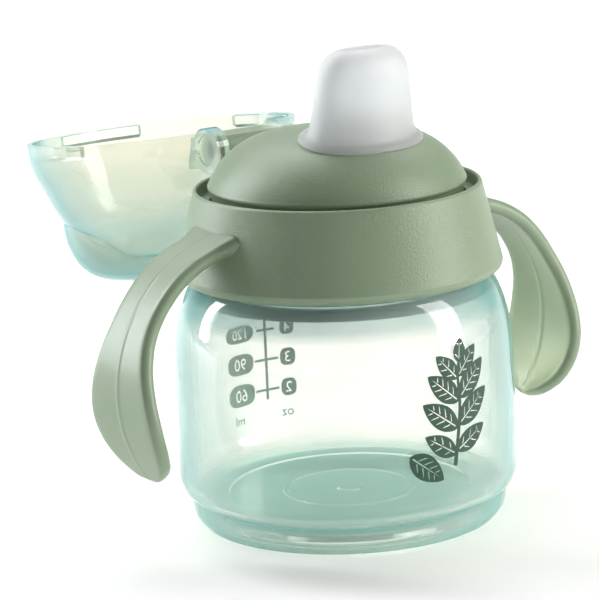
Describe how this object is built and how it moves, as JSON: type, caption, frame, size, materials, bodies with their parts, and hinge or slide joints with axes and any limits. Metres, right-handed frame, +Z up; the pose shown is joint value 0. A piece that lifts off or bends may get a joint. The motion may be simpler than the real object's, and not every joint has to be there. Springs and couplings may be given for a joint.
{
  "type": "sippy cup",
  "caption": "Clear training cup with a screw collar and side handles, a soft oval spout on a domed top, and a hinged translucent hood that folds back.",
  "frame": {"origin": "on the bottle's axis, at the plane of its foot ring", "axes": "+Z up along the bottle's axis, -Y towards the drinking side, +Y towards the hood's hinge, -X and +X towards the two handles"},
  "size_m": [0.1176, 0.141, 0.1056],
  "materials": {
    "clear_copolyester": "clear, faint aqua tint",
    "sage_polypropylene": "satin, fine texture",
    "hood_plastic": "translucent, aqua edges",
    "spout_silicone": "milky, soft sheen",
    "seal_silicone": "milky",
    "valve_silicone": "milky",
    "white_polypropylene": "satin"
  },
  "bodies": {
    "bottle": {"bottle": "clear_copolyester"},
    "seal": {"rim_seal": "seal_silicone"},
    "head": {"screw_collar": "sage_polypropylene", "handle_left": "sage_polypropylene", "handle_right": "sage_polypropylene", "spout_dome": "sage_polypropylene", "spout": "spout_silicone", "valve_carrier": "white_polypropylene", "valve_disc": "valve_silicone"},
    "hood": {"hood": "hood_plastic"}
  },
  "joints": [
    {"name": "seal_lift", "type": "slide", "parent": "bottle", "child": "seal", "axis": [0, 0, 1], "range_m": [0, 0.0161]},
    {"name": "head_turn", "type": "hinge", "parent": "seal", "child": "head", "pos_m": [0, 0, 0.0681], "axis": [0, 0, 1], "range_deg": [0, 1440]},
    {"name": "hood_hinge", "type": "hinge", "parent": "head", "child": "hood", "pos_m": [0, 0.0358, 0.0786], "axis": [1, 0, 0], "range_deg": [0, 187]}
  ],
  "couplings": [
    {"joint": "seal_lift", "follows": "head_turn", "m_per_rad": 0.00063662}
  ]
}
